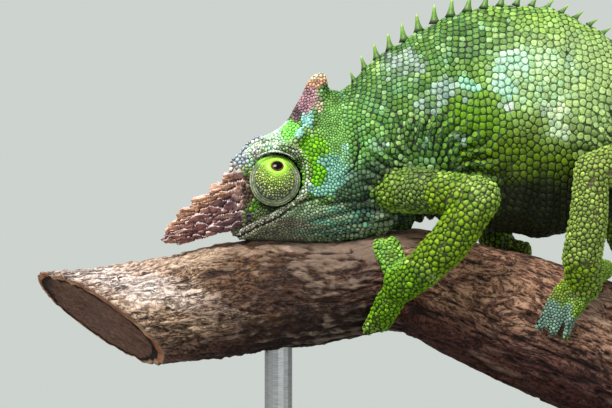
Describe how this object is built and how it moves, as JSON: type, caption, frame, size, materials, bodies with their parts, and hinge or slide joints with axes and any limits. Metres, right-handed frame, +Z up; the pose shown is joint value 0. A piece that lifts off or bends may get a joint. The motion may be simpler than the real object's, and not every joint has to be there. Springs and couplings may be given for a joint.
{
  "type": "two-horned chameleon model on a branch",
  "caption": "Life-size still model of a male two-horned chameleon creeping head-low along a cut branch, held by a flat base and short rods.",
  "frame": {"origin": "centre of the underside of the stand's base", "axes": "+Z up; the head points along -X and the tail along +X; the animal's left side faces -Y"},
  "size_m": [0.2051, 0.084, 0.1362],
  "materials": {
    "scaly_skin": "granular green scales, satin",
    "horn_scales": "overlapping plate scales, dull",
    "eye": "fine granules with a glossy cornea",
    "bark": "flaky brown bark with sawn ends",
    "stained_wood": "dark stain, satin",
    "steel": "brushed"
  },
  "bodies": {
    "root": {"skull": "scaly_skin", "jaw": "scaly_skin", "casque": "scaly_skin", "neck": "scaly_skin", "trunk": "scaly_skin", "tail_root": "scaly_skin", "tail_bend": "scaly_skin", "tail_outer_coil": "scaly_skin", "tail_inner_coil": "scaly_skin", "tail_tip": "scaly_skin", "upper_arm_left": "scaly_skin", "forearm_left": "scaly_skin", "hand_left": "scaly_skin", "upper_arm_right": "scaly_skin", "forearm_right": "scaly_skin", "hand_right": "scaly_skin", "thigh_left": "scaly_skin", "shank_left": "scaly_skin", "foot_left": "scaly_skin", "thigh_right": "scaly_skin", "shank_right": "scaly_skin", "foot_right": "scaly_skin", "horn_left": "horn_scales", "horn_right": "horn_scales", "eye_left": "eye", "eye_right": "eye", "perch": "bark", "stand_base": "stained_wood", "stand_rod_front": "steel", "stand_rod_rear": "steel"}
  },
  "joints": []
}
